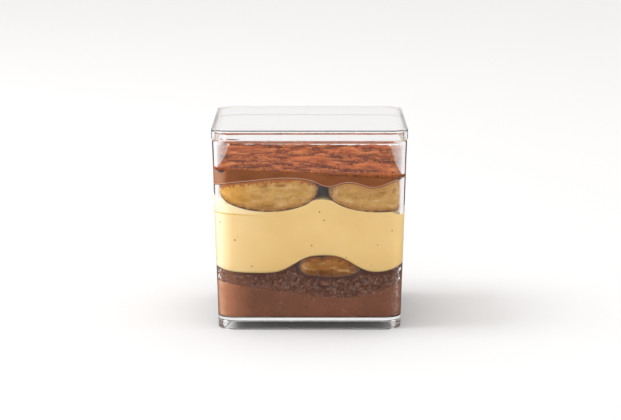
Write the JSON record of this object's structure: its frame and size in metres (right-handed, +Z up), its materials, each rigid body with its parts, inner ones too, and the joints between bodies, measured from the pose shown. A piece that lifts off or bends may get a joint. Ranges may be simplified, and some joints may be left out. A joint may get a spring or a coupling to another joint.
{
  "type": "tiramisu in a clear square cup",
  "caption": "Layered tiramisu in a clear square plastic cup with its flat lid: cocoa, chocolate cream, sponge biscuits, vanilla cream and a chocolate base.",
  "frame": {"origin": "middle of the cup's foot, on the surface it stands on", "axes": "+Z up through the layers to the lid, +X to the right seen from the front, the front faces -Y"},
  "size_m": [0.075, 0.075, 0.0776],
  "materials": {
    "clear_plastic": "clear",
    "chocolate_base": "satin",
    "biscuit_crumb": "matte",
    "biscuit": "matte",
    "vanilla_cream": "satin",
    "chocolate_cream": "satin",
    "cocoa_powder": "matte"
  },
  "bodies": {
    "root": {"cup": "clear_plastic", "lid": "clear_plastic", "chocolate_base": "chocolate_base", "crumb_layer": "biscuit_crumb", "lower_biscuit": "biscuit", "vanilla_cream": "vanilla_cream", "left_biscuit": "biscuit", "right_biscuit": "biscuit", "chocolate_cream": "chocolate_cream", "cocoa_dusting": "cocoa_powder"}
  },
  "joints": []
}
